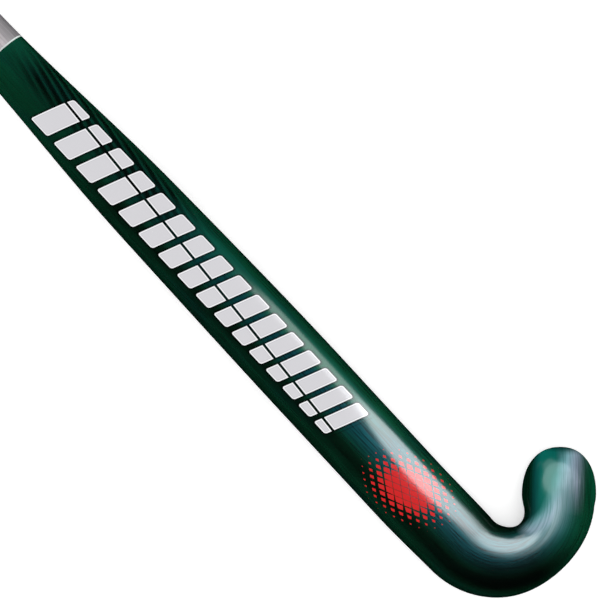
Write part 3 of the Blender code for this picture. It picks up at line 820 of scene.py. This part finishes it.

# %% A pale painted highlight over the toe
# The painted highlight runs askew: it moves 0.38 mm over for each millimetre along the toe. Its middle lies
# about 17 mm on the throat side of the ridge at a height of 0, crosses the ridge and ends about 5 mm past
# it at the nose. The brush lines break it up.
HIGHLIGHT_SLANT = 0.38
highlight_line = add_node(tree, "Math", [height, -HIGHLIGHT_SLANT, girth], operation="MULTIPLY_ADD")
highlight_shares = [
    stencil(tree, highlight_line, [(-1.3, 0.0), (9.9, 0.352), (15.3, 1.0), (18.5, 1.0), (23.7, 0.0)]),
    stencil(tree, height, [
        (-62.0, 0.0), (-57.8, 1.0), (-48.0, 0.352), (-38.2, 0.352), (-28.4, 0.745),
        (-18.6, 1.0), (-4.6, 1.0), (3.1, 0.279), (8.0, 0.0),
    ]),
    add_node(tree, "ValToRGB", {"Fac": lines}, [(0.34, 0.55), (0.56, 1.0)]),
]
highlight_colour = stencil(tree, highlight_line, [(1.9, "#55647c"), (14.1, "#8fa6b6"), (21.7, "#5ca0a2")])
painted_highlight = coat(tree, painted_lilac_reflection, highlight_colour, highlight_shares)
print("the nose is at a height of", round((BEND_HEIGHT - BULB - TOE_NOSE) * 1000), "mm on the map")

# %% Painted shade on the flanks
# The painted shade is darkest 13 mm on the heel side of the ridge, lets the green show again at the heel's
# edge and is lighter on the flat face. It is weaker near the silver and on the toe.
flank = stencil(tree, girth, [
    (-40.0, 0.604), (-30.0, 0.231), (-24.0, 0.352), (-19.0, 0.479), (-13.0, 0.195), (-9.0, 0.262),
    (-5.0, 0.716), (-2.0, 0.776), (18.0, 1.0), (25.0, 0.701), (29.0, 0.254), (40.0, 0.604),
])
flank_shade_shares = [
    stencil(tree, height, [(TOE_FULL, 0.3), (TOE_START, 1.0)], soft=True),
    stencil(tree, height, [(330.0, 1.0), (425.0, 0.35)]),
]
shaded = coat(tree, painted_highlight, flank, flank_shade_shares, blend="MULTIPLY")
print("flank shading over 80 mm of girth")

# %% Painted shade on the edges round the bend
# Painted shade makes the outer side of the bend, up to its ridge, the throat's edge and the end of the nose
# about four times as dark again. The three overlap, and there the strongest of them counts.
bend_shade_parts = [
    overlap(tree, [
        stencil(tree, height, [(-17.0, 0.0), (7.0, 1.0), (28.0, 1.0), (92.5, 0.0)]),
        stencil(tree, girth, [(-26.0, 0.0), (-19.0, 0.246), (-14.0, 1.0), (-2.0, 1.0), (8.0, 0.0)]),
    ]),
    overlap(tree, [
        stencil(tree, height, [(45.0, 1.0), (85.0, 0.0)], soft=True),
        stencil(tree, girth, [(13.0, 0.0), (20.0, 1.0), (30.0, 1.0), (40.0, 0.0)]),
    ]),
    stencil(tree, height, [(-62.5, 1.0), (-59.5, 0.0)]),
]
strongest = bend_shade_parts[0]
for part in bend_shade_parts[1:]:
    strongest = add_node(tree, "Math", [strongest, part], operation="MAXIMUM")
bend_shaded = coat(tree, shaded, "#848484", [strongest], blend="MULTIPLY")
print("the bend is darker in", len(bend_shade_parts), "places")

# %% Soft dark bars below the silver
# Soft bars, 4.5 mm apart across the stick, darken the toe side from 274 to 434 mm. Each one leans 14
# degrees off the shaft's line, so it moves 1 mm of girth in 4 mm of height.
BAR_PITCH = 4.5
BAR_RISE = 4.0
bar_slant = add_node(tree, "Math", [height, -1 / BAR_RISE, girth], operation="MULTIPLY_ADD")
bar_count = add_node(tree, "Math", [bar_slant, BAR_PITCH], operation="DIVIDE")
in_bar = add_node(tree, "Math", [bar_count], operation="FRACT")
bar_shares = [
    stencil(tree, height, [(274.0, 0.0), (310.0, 1.0), (410.0, 1.0), (434.0, 0.0)]),
    stencil(tree, girth, [(-4.0, 0.0), (4.0, 1.0), (18.0, 1.0), (22.0, 0.279), (28.0, 0.0)]),
    stencil(tree, in_bar, [(0.0, 0.314), (0.40, 1.0), (0.75, 1.0), (1.0, 0.314)]),
]
barred = coat(tree, bend_shaded, "#606060", bar_shares, blend="MULTIPLY")
print("soft bars every", BAR_PITCH, "mm")

# %% Silver above the green
# The two base coats meet in a hard masked line, with a pale pinstripe 0.9 mm wide on it.
SILVER_START = 435.4
PINSTRIPE = 0.9
silver_share = add_node(tree, "Math", [height, SILVER_START], operation="GREATER_THAN")
pinstripe = add_node(tree, "Math", [height, SILVER_START, PINSTRIPE / 2], operation="COMPARE")
silver_lines = add_node(tree, "ValToRGB", {"Fac": lines}, [(0.3, "#cfcdd0"), (0.6, "#ffffff")])
# The silver's tone round the girth is painted shading: lightest on the back, darker towards both flanks.
silver_painted_shading = stencil(tree, girth, [
    (-20.0, "#8d8b8e"), (-8.0, "#cdc8ca"), (5.0, "#dbd4d7"), (10.0, "#a9a6a8"), (16.0, "#858385"),
])
silver = coat(tree, silver_painted_shading, silver_lines, blend="MULTIPLY")
two_coats = coat(tree, barred, silver, [silver_share])
coats = coat(tree, two_coats, "#dfe9e6", [pinstripe])
print("silver from", SILVER_START, "mm up")

# %% [markdown]
# ## The print
# Screen print lies on the base coat and under the clear coat. A row of white slanted blocks fills the
# middle of the back, with a fine cut that crosses the row from one edge to the other, and a cluster of red
# lozenges thins out towards its rim above the bend. Decals could be cut as thin meshes, but edges that are
# worked out as a distance in millimetres stay crisp at any zoom, and the same distance gives the rounded
# corners, the thin outline and the soft shadow.

# %% White blocks: which block, and how far from its middle
SLANT = math.tan(math.radians(18.5))
ROW_LOW, ROW_HIGH = 145.4, 394.4
PITCH_LOW = 13.0
BLOCK_COUNT = 16
BLOCK_SHARE = 0.72
ROW_HALF = 13.2
CORNER = 1.4
row = ROW_HIGH - ROW_LOW
rate = 1 / PITCH_LOW
slowing = (BLOCK_COUNT / row - rate) / row
slanted = add_node(tree, "Math", [girth, SLANT, height], operation="MULTIPLY_ADD")
along_row = add_node(tree, "Math", [slanted, ROW_LOW], operation="SUBTRACT")
pace = add_node(tree, "Math", [along_row, slowing, rate], operation="MULTIPLY_ADD")
count = add_node(tree, "Math", [pace, along_row], operation="MULTIPLY")
blocks_per_mm = add_node(tree, "Math", [along_row, 2 * slowing, rate], operation="MULTIPLY_ADD")
in_block = add_node(tree, "Math", [count], operation="FRACT")
centred = add_node(tree, "Math", [in_block, 0.5], operation="SUBTRACT")
from_middle = add_node(tree, "Math", [centred], operation="ABSOLUTE")
past_half = add_node(tree, "Math", [from_middle, BLOCK_SHARE / 2], operation="SUBTRACT")
print("blocks", PITCH_LOW, "mm apart at the head,", round(1 / (rate + 2 * slowing * row), 1), "mm at the top")

# %% White blocks: distance to the edge, less than 0 inside
slant_cosine = math.cos(math.atan(SLANT))
past_side = add_node(tree, "Math", [past_half, blocks_per_mm], operation="DIVIDE")
side_gap = add_node(tree, "Math", [past_side, slant_cosine, CORNER], operation="MULTIPLY_ADD")
off_ridge = add_node(tree, "Math", [girth], operation="ABSOLUTE")
end_gap = add_node(tree, "Math", [off_ridge, ROW_HALF - CORNER], operation="SUBTRACT")
both_gaps = add_node(tree, "CombineXYZ", {"X": side_gap, "Y": end_gap})
outside_gaps = add_node(tree, "VectorMath", [both_gaps, (0.0, 0.0, 0.0)], operation="MAXIMUM")
outside = add_node(tree, "VectorMath", [outside_gaps], operation="LENGTH")
larger_gap = add_node(tree, "Math", [side_gap, end_gap], operation="MAXIMUM")
inside = add_node(tree, "Math", [larger_gap, 0.0], operation="MINIMUM")
rounded = add_node(tree, "Math", [outside, inside], operation="ADD")
block_edge = add_node(tree, "Math", [rounded, CORNER], operation="SUBTRACT")
print("block corners of", CORNER, "mm radius")

# %% White blocks: the fine cut, and the two ends of the row
CUT_START, CUT_END, CUT_WIDTH = -8.5, 8.5, 1.5
cut_slope = (CUT_START - CUT_END) / row
cut_line = add_node(tree, "Math", [along_row, cut_slope, girth], operation="MULTIPLY_ADD")
cut_offset = add_node(tree, "Math", [cut_line, CUT_START], operation="SUBTRACT")
cut_away = add_node(tree, "Math", [cut_offset], operation="ABSOLUTE")
cut_edge = add_node(tree, "Math", [CUT_WIDTH / 2, cut_away], operation="SUBTRACT")
after_cut = add_node(tree, "Math", [block_edge, cut_edge], operation="MAXIMUM")
below_row = add_node(tree, "Math", [0.0, along_row], operation="SUBTRACT")
above_row = add_node(tree, "Math", [along_row, row], operation="SUBTRACT")
off_row = add_node(tree, "Math", [below_row, above_row], operation="MAXIMUM")
white_edge = add_node(tree, "Math", [after_cut, off_row], operation="MAXIMUM")
print("the cut is", CUT_WIDTH, "mm wide")

# %% White blocks: ink, outline and soft shadow from that distance
shadow = stencil(tree, white_edge, [(0.0, "#3c3c3c"), (1.52, "#ffffff")])
white_ink = stencil(tree, white_edge, [
    (-1.12, "#d2d1d5"), (-0.88, "#b9b8be"), (-0.64, "#ececee"), (0.0, "#f4f4f6"),
])
white_share = stencil(tree, white_edge, [(-0.1, 1.0), (0.1, 0.0)])
under_print = coat(tree, coats, shadow, blend="MULTIPLY")
with_white = coat(tree, under_print, white_ink, [white_share])
print("a grey line runs 0.9 mm inside the edge, and the shadow reaches 1.5 mm outside it")

# %% Red lozenges that thin out towards the rim
LOZENGE_WIDTH, LOZENGE_LENGTH = 4.4, 8.0
RED_MIDDLE = (1.0, 96.4)
RED_HALVES = (23.0, 31.0)
red_girth = add_node(tree, "Math", [girth, RED_MIDDLE[0]], operation="SUBTRACT")
from_red = add_node(tree, "Math", [slanted, RED_MIDDLE[1]], operation="SUBTRACT")
across_cells = add_node(tree, "Math", [red_girth, LOZENGE_WIDTH], operation="DIVIDE")
along_cells = add_node(tree, "Math", [from_red, LOZENGE_LENGTH], operation="DIVIDE")
rising = add_node(tree, "Math", [across_cells, along_cells], operation="ADD")
falling = add_node(tree, "Math", [across_cells, along_cells], operation="SUBTRACT")
cell = add_node(tree, "CombineXYZ", {"X": rising, "Y": falling})
in_cell = add_node(tree, "VectorMath", [cell], operation="FRACTION")
cell_centred = add_node(tree, "VectorMath", [in_cell, (0.5, 0.5, 0.0)], operation="SUBTRACT")
cell_away = add_node(tree, "VectorMath", [cell_centred], operation="ABSOLUTE")
x, y, _ = add_node(tree, "SeparateXYZ", [cell_away]).outputs
lozenge = add_node(tree, "Math", [x, y], operation="MAXIMUM")
print("lozenges", LOZENGE_WIDTH, "by", LOZENGE_LENGTH, "mm")

# %% The size of each lozenge, and the red ink
# Lozenges nearly touch in the middle of the cluster and shrink to nothing at its rim.
red_place = add_node(tree, "CombineXYZ", {"X": red_girth, "Y": from_red})
red_scaled = add_node(tree, "VectorMath", [red_place, (*RED_HALVES, 1.0)], operation="DIVIDE")
red_radius = add_node(tree, "VectorMath", [red_scaled], operation="LENGTH")
lozenge_size = stencil(tree, red_radius, [(0.38, 0.47), (1.0, 0.0)])
lozenge_gap = add_node(tree, "Math", [lozenge_size, lozenge], operation="SUBTRACT")
red_share = stencil(tree, lozenge_gap, [(-0.01, 0.0), (0.02, 1.0)])
printed = coat(tree, with_white, "#cd1c1e", [red_share])
tree.links.new(printed.outputs[2], shader.inputs["Base Color"])
print("red cluster", [2 * half for half in RED_HALVES], "mm")

# %% Ink isn't metallic, flake is
# Flake lies denser where the brush has left more paint, and glints unevenly. Less of it was sprayed along
# the toe side and on the toe. Where there is more of it the base coat is also a little smoother.
FLAKE_LOW, FLAKE_HIGH = 0.18, 0.40
GLINT_LOW, GLINT_HIGH = 0.6, 1.4
either_ink = add_node(tree, "Math", [white_share, red_share], operation="MAXIMUM")
in_lines = {"Value": lines, "From Min": 0.3, "From Max": 0.7}
in_flakes = {"Value": flakes, "From Min": 0.36, "From Max": 0.62}
flake_share = overlap(tree, [
    add_node(tree, "MapRange", {**in_lines, "To Min": FLAKE_LOW, "To Max": FLAKE_HIGH}),
    stencil(tree, girth, [(3.0, 1.0), (10.0, 0.262), (16.0, 0.262), (22.0, 1.0)]),
    stencil(tree, height, [(TOE_FULL, 0.2), (TOE_START, 1.0)], soft=True),
    add_node(tree, "MapRange", {**in_flakes, "To Min": GLINT_LOW, "To Max": GLINT_HIGH}),
])
flake_spread = add_node(tree, "MapRange", {**in_lines, "To Min": 0.46, "To Max": 0.38})
metal = add_node(tree, "Mix", {0: either_ink, 2: flake_share, 3: 0.0})
spread = add_node(tree, "Mix", {0: either_ink, 2: flake_spread, 3: 0.5})
tree.links.new(metal.outputs[0], shader.inputs["Metallic"])
tree.links.new(spread.outputs[0], shader.inputs["Roughness"])
print("flake is", round(100 * FLAKE_LOW * GLINT_LOW), "to", round(100 * FLAKE_HIGH * GLINT_HIGH), "% metal")

# %% Clear coat, rubbed thin on the toe
# Play drags the toe over the floor, so the coat is worn to about a third there and mirrors less.
COAT_LEFT = 0.32
coat_share = stencil(tree, height, [(-40.0, COAT_LEFT), (-18.0, 1.0)], soft=True)
tree.links.new(coat_share.outputs[0], shader.inputs["Coat Weight"])
print("coat left on the toe", COAT_LEFT)

# %% [markdown]
# ## Polyurethane tape, vinyl and rubber
# The grip tape is soft polyurethane with a fine leather grain and rows of punched holes 5 mm apart, which
# let sweat through. The band is smooth satin vinyl that creases a little where it is stretched round the
# step. The cap is moulded rubber with the fine grit of its mould. All three are dull, so their relief is
# what shows, and each bump height below is a real depth in metres.

# %% Polyurethane grip tape
# The map on the tape runs along it and across it in millimetres. Polyurethane has an IOR near 1.5. The
# last 2.5 mm across the tape, where it laps over the turn above, have no holes.
HOLE_SPACING, HOLE_RADIUS = 5.0, 0.75
HOLES_END = 20.0
GRAIN_WIDTH = 1.1
tape, tree, shader = new_material(
    "polyurethane grip tape", roughness=0.62, ior=1.5, sheen_weight=0.25, sheen_roughness=0.4
)
grip.data.materials.append(tape)
ruler = add_node(tree, "UVMap", uv_map="millimetres")
grain = add_node(tree, "TexVoronoi", {"Vector": ruler, "Scale": 1 / GRAIN_WIDTH}, feature="SMOOTH_F1")
hole_place = add_node(tree, "VectorMath", {0: ruler, "Scale": 1 / HOLE_SPACING}, operation="SCALE")
in_cell = add_node(tree, "VectorMath", [hole_place], operation="FRACTION")
hole_away = add_node(tree, "VectorMath", [in_cell, (0.5, 0.5, 0.0)], operation="DISTANCE")
hole_mm = add_node(tree, "Math", [hole_away, HOLE_SPACING], operation="MULTIPLY")
off_hole = stencil(tree, hole_mm, [(HOLE_RADIUS - 0.2, 0.0), (HOLE_RADIUS + 0.15, 1.0)])
_, across_mm, _ = add_node(tree, "SeparateXYZ", [ruler]).outputs
on_lap = add_node(tree, "Math", [across_mm, HOLES_END], operation="GREATER_THAN")
no_hole = add_node(tree, "Math", [off_hole, on_lap], operation="MAXIMUM")
print("punched holes", HOLE_RADIUS * 2, "mm wide,", HOLE_SPACING, "mm apart")

# %% Tape colour, wear and relief
WEAR_WIDTH = 20.0
HOLE_DEPTH, GRAIN_DEPTH = 0.0004, 0.00012
wear = grains(tree, ruler, (WEAR_WIDTH, WEAR_WIDTH, 1.0), Detail=4.0)
tape_tone = add_node(tree, "ValToRGB", {"Fac": wear}, [(0.3, "#1d1f21"), (0.7, "#2b2e30")])
# The holes are painted near black: painted shade down in them.
tape_colour = coat(tree, "#060606", tape_tone, [no_hole])
tree.links.new(tape_colour.outputs[2], shader.inputs["Base Color"])
hole_bump = add_node(tree, "Bump", {"Height": no_hole, "Strength": 1.0, "Distance": HOLE_DEPTH})
grain_links = {"Height": grain, "Strength": 0.6, "Distance": GRAIN_DEPTH, "Normal": hole_bump}
grain_bump = add_node(tree, "Bump", grain_links)
tree.links.new(grain_bump.outputs[0], shader.inputs["Normal"])
print("leather grain", GRAIN_WIDTH, "mm wide")

# %% One pattern for tone and relief
# Deeper places of a pattern take its darker tone, so one pattern sets both. In the woods' pores and the
# cane's tubes that is their own colour; in the hollows of the vinyl, carbon, twine, foam and rubber it is
# painted shade.
def colour_and_emboss(tree, shader, pattern, tones, strength, depth):
    """Gives a surface the tones of a pattern, and its relief, which is as deep as depth in metres."""
    tone = add_node(tree, "ValToRGB", {"Fac": pattern}, tones)
    relief = add_node(tree, "Bump", {"Height": pattern, "Strength": strength, "Distance": depth})
    tree.links.new(tone.outputs["Color"], shader.inputs["Base Color"])
    tree.links.new(relief.outputs[0], shader.inputs["Normal"])


print("a relief of 0.0003 m is", 0.0003 * 1000, "mm deep")

# %% Satin vinyl band
# Creases run round the band about 1.5 mm apart. Each fades in and out over 18 mm of its girth.
CREASE_PITCH, CREASE_LENGTH = 1.5, 18.0
vinyl, tree, shader = new_material("satin vinyl tape", roughness=0.34, ior=1.52)
band.data.materials.append(vinyl)
ruler = add_node(tree, "UVMap", uv_map="millimetres")
creases = grains(tree, ruler, (CREASE_LENGTH, CREASE_PITCH, 1.0), Detail=2.0)
# The creases are darker where they lie deeper: painted shade in them.
colour_and_emboss(tree, shader, creases, [(0.35, "#b9bcc0"), (0.6, "#d0d2d5")], strength=0.5, depth=0.0003)
print("vinyl creases every", CREASE_PITCH, "mm")

# %% Moulded rubber cap
# Spark-eroded moulds leave a grit of about 0.4 mm on rubber. A grain of noise is a dark and a light one,
# so it is twice that wide. Object coordinates are in metres.
GRIT_WIDTH = 0.4
rubber, tree, shader = new_material("moulded rubber", roughness=0.55, ior=1.52)
cap.data.materials.append(rubber)
room = add_node(tree, "TexCoord").outputs["Object"]
grit = grains(tree, room, [2 * GRIT_WIDTH / 1000] * 3, Detail=2.0)
# The grit's hollows are darker: painted shade.
colour_and_emboss(tree, shader, grit, [(0.3, "#141516"), (0.7, "#202224")], strength=0.4, depth=0.00006)
print("rubber grit", GRIT_WIDTH, "mm")

# %% [markdown]
# ## The hidden core
# Inside the skin are the steam-bent mulberry laminations, the cane slips with rubber between them, the
# carbon strip, the twine binding and the foam under the grip. The lacquer hides them all, yet the part may
# be shown cut open or in pieces, so each gets the finish of its real material. The wood's grain has to
# follow the bend, which a plain noise would not: near the hook it is worked out from the distance to the
# centre of the bend.

# %% Grain that follows the bend
BEND_CENTRE = (STAND.x + HOOK_RADIUS, STAND.y + BEND_HEIGHT, 0.0)


def grain_along_stick(tree):
    """A vector in millimetres: across the laminations, along the stick, and up."""
    room = add_node(tree, "TexCoord").outputs["Object"]
    from_bend = add_node(tree, "VectorMath", [room, BEND_CENTRE], operation="SUBTRACT")
    in_mm = add_node(tree, "VectorMath", {0: from_bend, "Scale": 1000.0}, operation="SCALE")
    x, y, z = add_node(tree, "SeparateXYZ", [in_mm]).outputs
    below = add_node(tree, "Math", [y, 0.0], operation="MINIMUM")
    above = add_node(tree, "Math", [y, 0.0], operation="MAXIMUM")
    from_centre = add_node(tree, "CombineXYZ", {"X": x, "Y": below})
    radius = add_node(tree, "VectorMath", [from_centre], operation="LENGTH")
    turn = add_node(tree, "Math", [below, x], operation="ARCTAN2")
    arc = add_node(tree, "Math", [turn, HOOK_RADIUS * 1000], operation="MULTIPLY")
    along = add_node(tree, "Math", [above, arc], operation="SUBTRACT")
    return add_node(tree, "CombineXYZ", {"X": radius, "Y": along, "Z": z})


print("the bend is centred on", [round(value * 1000, 1) for value in BEND_CENTRE], "mm")

# %% Mulberry and cane
# Mulberry's pores draw lines about 1 mm apart and 50 mm long. Cane has no rings, but bundles of dark tubes
# about 0.4 mm wide, drawn here about 1.3 mm apart and 100 mm long.
woods = {}
for wood_name, width, length, tones, dull in (
    ("steam-bent mulberry", 1.0, 50.0, ((0.3, "#8a5a2c"), (0.55, "#b98648"), (0.75, "#cf9f60")), 0.5),
    ("planed manau cane", 1.333, 100.0, ((0.32, "#8f6f3c"), (0.42, "#cfae72"), (0.7, "#dcc08a")), 0.55),
):
    wood, tree, shader = new_material(wood_name, roughness=dull, ior=1.5)
    pores = grains(tree, grain_along_stick(tree), (width, length, width), Detail=5.0, Roughness=0.65)
    colour_and_emboss(tree, shader, pores, tones, strength=0.4, depth=0.0001)
    woods[wood_name] = wood
print("woods:", list(woods))

# %% Carbon, twine, foam and sheet rubber
# Carbon tows run along the strip, 2 mm wide. Twine is wound side by side, its turns about 0.7 mm apart.
# Foam cells and the grit of sheet rubber are finer than a picture can show and are drawn at 0.5 mm.
cores = {}
for core_name, low_tone, high_tone, dull, cell_size, depth in (
    ("unidirectional carbon", "#08090a", "#1d2022", 0.32, (2.0, 90.0, 2.0), 0.00005),
    ("waxed linen twine", "#7d6a42", "#c2ac78", 0.7, (40.0, 1.1, 40.0), 0.0004),
    ("closed cell foam", "#2e3033", "#46494d", 0.9, (0.5, 0.5, 0.5), 0.0002),
    ("sheet rubber", "#191817", "#2a2827", 0.8, (0.5, 0.5, 0.5), 0.0001),
):
    made, tree, shader = new_material(core_name, roughness=dull, ior=1.5)
    room = add_node(tree, "TexCoord").outputs["Object"]
    if core_name == "waxed linen twine":
        sized = add_node(tree, "Mapping", {"Vector": room, "Scale": [1000 / size for size in cell_size]})
        waves = {"Vector": sized, "Scale": 0.5, "Distortion": 0.4}
        pattern = add_node(tree, "TexWave", waves, bands_direction="Y")
    else:
        pattern = grains(tree, room, [size / 1000 for size in cell_size], Detail=3.0)
    # Where each pattern lies deeper it takes the darker tone: painted shade in the hollows of the carbon, the
    # twine, the foam and the rubber.
    colour_and_emboss(tree, shader, pattern, [(0.3, low_tone), (0.7, high_tone)], 0.6, depth)
    cores[core_name] = made
print("core finishes:", list(cores))

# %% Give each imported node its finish
finishes = {f"head_lamination_{n}": woods["steam-bent mulberry"] for n in range(1, 9)}
for layer in ("face", "middle", "back"):
    finishes[f"cane_slip_{layer}"] = woods["planed manau cane"]
finishes |= {
    "handle_rubber_face": cores["sheet rubber"],
    "handle_rubber_back": cores["sheet rubber"],
    "carbon_strip": cores["unidirectional carbon"],
    "handle_binding": cores["waxed linen twine"],
    "grip_underlay": cores["closed cell foam"],
    "fibreglass_skin": lacquer,
    "grip_wrap": tape,
    "grip_band": vinyl,
    "butt_cap": rubber,
}
for node_name, finish in finishes.items():
    for material_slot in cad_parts[node_name].material_slots:
        material_slot.material = finish
print("nodes with a finish:", len(finishes), "of", len(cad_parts))
